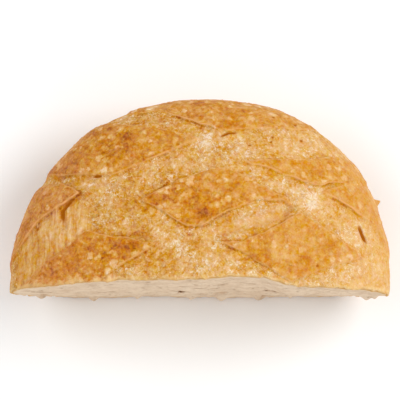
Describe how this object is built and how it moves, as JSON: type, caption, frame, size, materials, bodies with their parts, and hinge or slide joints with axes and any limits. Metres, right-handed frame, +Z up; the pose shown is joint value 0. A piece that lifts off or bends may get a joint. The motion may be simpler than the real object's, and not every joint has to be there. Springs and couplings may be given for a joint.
{
  "type": "sourdough loaf half",
  "caption": "Half of a round scored sourdough loaf with a blistered golden crust, lying on its flat base with the cut crumb face upright; for food displays and kitchens.",
  "frame": {"origin": "middle of the footprint's box, on the surface the flat base lies on", "axes": "+Z up through the crown; the cut face looks along -Y; +X runs along the cut, to the right seen from the cut side"},
  "size_m": [0.2402, 0.121, 0.095],
  "materials": {
    "crust": "baked golden-brown bread crust, satin on the raised islands and floury in the opened scores, pale matte crumb on the cut"
  },
  "bodies": {
    "root": {"half_loaf": "crust"}
  },
  "joints": []
}
